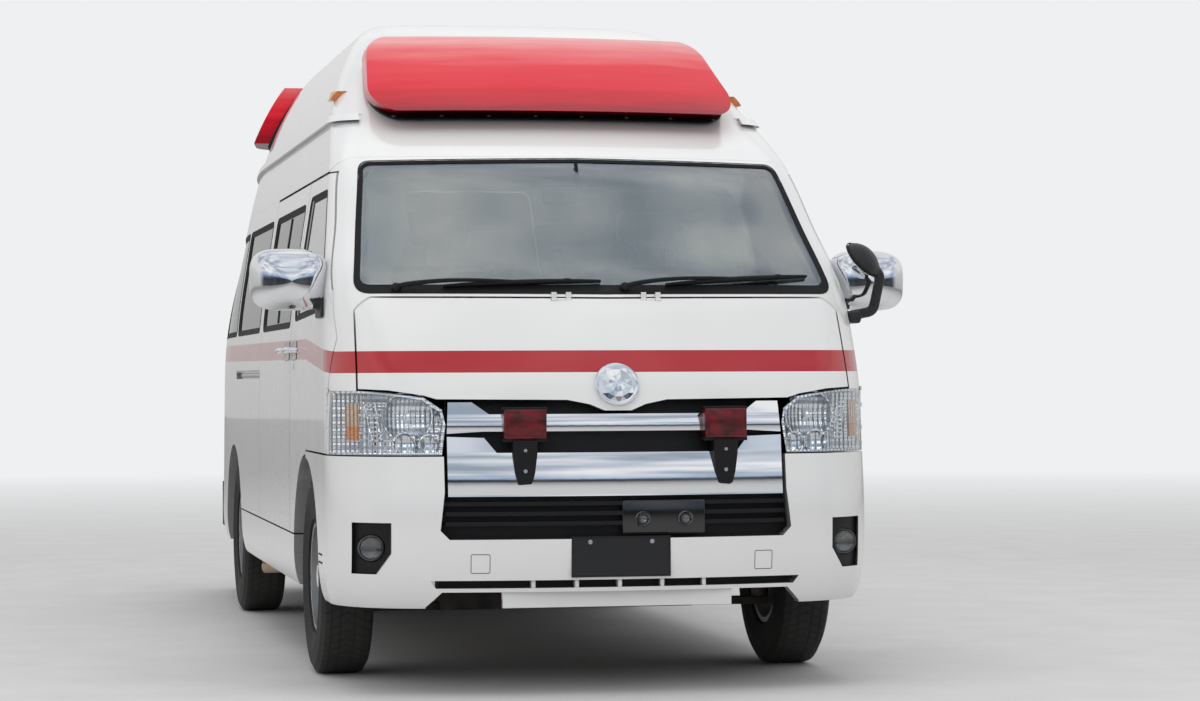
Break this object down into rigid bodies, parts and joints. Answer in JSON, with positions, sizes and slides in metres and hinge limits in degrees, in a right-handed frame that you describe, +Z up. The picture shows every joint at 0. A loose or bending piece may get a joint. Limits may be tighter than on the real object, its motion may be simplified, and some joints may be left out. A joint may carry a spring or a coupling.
{
  "type": "ambulance",
  "caption": "High-roof van ambulance with a raised rear roof, red roof beacons, hinged cab doors, bonnet and tailgate, steered front wheels and a patient space with bench and stretcher deck.",
  "frame": {"origin": "on the ground, in the middle of the length and of the width", "axes": "-Y is the front, +Y the rear, +X the kerb side on the left of the vehicle, +Z up"},
  "size_m": [2.326, 5.598, 2.4899],
  "materials": {
    "white_paint": "gloss white paint",
    "glass": "tinted clear glass",
    "chrome": "bright polished plating",
    "lamp_glass": "clear lamp cover",
    "lamp_bowl": "bright reflector",
    "red_lens": "clear red lens",
    "amber_lens": "clear orange lens",
    "dark_plastic": "fine grain",
    "dark_rubber": "matt",
    "grey_trim": "satin",
    "floor_paint": "matt underbody paint",
    "cast_metal": "raw cast",
    "steel": "dull",
    "seat_fabric": "woven cloth",
    "bench_vinyl": "wipe-clean cover",
    "deck_metal": "satin",
    "plate_dark": "satin",
    "tyre": "ribbed rubber",
    "rim_paint": "silver paint"
  },
  "bodies": {
    "body": {"attendant_bench": "bench_vinyl", "beacon_gaskets": "dark_rubber", "chassis_frame": "floor_paint", "dashboard": "dark_plastic", "drip_rails": "grey_trim", "engine_block": "cast_metal", "exhaust_pipe": "steel", "floor_pan": "floor_paint", "fog_lamps": "dark_plastic", "front_beacon": "red_lens", "front_bumper": "white_paint", "front_seats": "seat_fabric", "front_suspension": "floor_paint", "fuel_tank": "steel", "grille_bars": "chrome", "grille_frame": "dark_plastic", "headlamps": "lamp_glass", "high_roof": "white_paint", "lamp_bowls": "lamp_bowl", "nose_frame": "white_paint", "number_plate": "plate_dark", "rear_axle": "floor_paint", "rear_beacons": "red_lens", "rear_bumper": "dark_plastic", "roof_marker_lamps": "amber_lens", "side_glass": "glass", "side_panel_left": "white_paint", "side_panel_right": "white_paint", "side_skirts": "white_paint", "sliding_doors": "white_paint", "spare_wheel": "tyre", "stretcher_deck": "deck_metal", "tail_lamps": "red_lens", "windscreen": "glass", "wipers": "dark_plastic"},
    "door_right": {"front_door_right": "white_paint", "door_glass_right": "glass", "door_mirror_right": "dark_plastic"},
    "door_left": {"front_door_left": "white_paint", "door_glass_left": "glass", "door_mirror_left": "dark_plastic"},
    "bonnet": {"bonnet": "white_paint"},
    "tailgate": {"tailgate": "white_paint", "tailgate_glass": "glass"},
    "steering": {"steering_wheel": "dark_plastic"},
    "knuckle_right": {"knuckle_right": "cast_metal"},
    "knuckle_left": {"knuckle_left": "cast_metal"},
    "wheel_front_right": {"tyre_front_right": "tyre", "rim_front_right": "rim_paint"},
    "wheel_front_left": {"tyre_front_left": "tyre", "rim_front_left": "rim_paint"},
    "wheel_rear_right": {"tyre_rear_right": "tyre", "rim_rear_right": "rim_paint"},
    "wheel_rear_left": {"tyre_rear_left": "tyre", "rim_rear_left": "rim_paint"}
  },
  "joints": [
    {"name": "door_right_hinge", "type": "hinge", "parent": "body", "child": "door_right", "pos_m": [-0.936, -2.407, 1], "axis": [0, 0, 1], "range_deg": [0, 65]},
    {"name": "door_left_hinge", "type": "hinge", "parent": "body", "child": "door_left", "pos_m": [0.936, -2.407, 1], "axis": [0, 0, -1], "range_deg": [0, 65]},
    {"name": "bonnet_hinge", "type": "hinge", "parent": "body", "child": "bonnet", "pos_m": [0, -2.56, 1.318], "axis": [-1, 0, 0], "range_deg": [0, 50]},
    {"name": "tailgate_hinge", "type": "hinge", "parent": "body", "child": "tailgate", "pos_m": [0, 2.511, 1.991], "axis": [1, 0, 0], "range_deg": [0, 85]},
    {"name": "steering_wheel_turn", "type": "hinge", "parent": "body", "child": "steering", "pos_m": [-0.4, -2.07, 1.262], "axis": [0, 0.788, 0.6157], "range_deg": [-600, 600]},
    {"name": "steer_right", "type": "hinge", "parent": "body", "child": "knuckle_right", "pos_m": [-0.737, -1.765, 0.3465], "axis": [0, 0, 1], "range_deg": [-35, 35]},
    {"name": "steer_left", "type": "hinge", "parent": "body", "child": "knuckle_left", "pos_m": [0.737, -1.765, 0.3465], "axis": [0, 0, 1], "range_deg": [-35, 35]},
    {"name": "spin_front_right", "type": "hinge", "parent": "knuckle_right", "child": "wheel_front_right", "pos_m": [-0.827, -1.765, 0.3465], "axis": [-1, 0, 0], "continuous": true},
    {"name": "spin_front_left", "type": "hinge", "parent": "knuckle_left", "child": "wheel_front_left", "pos_m": [0.827, -1.765, 0.3465], "axis": [-1, 0, 0], "continuous": true},
    {"name": "spin_rear_right", "type": "hinge", "parent": "body", "child": "wheel_rear_right", "pos_m": [-0.827, 1.345, 0.3465], "axis": [-1, 0, 0], "continuous": true},
    {"name": "spin_rear_left", "type": "hinge", "parent": "body", "child": "wheel_rear_left", "pos_m": [0.827, 1.345, 0.3465], "axis": [-1, 0, 0], "continuous": true}
  ],
  "couplings": [
    {"joint": "steer_left", "follows": "steer_right", "ratio": 1},
    {"joint": "steering_wheel_turn", "follows": "steer_right", "ratio": 17}
  ]
}
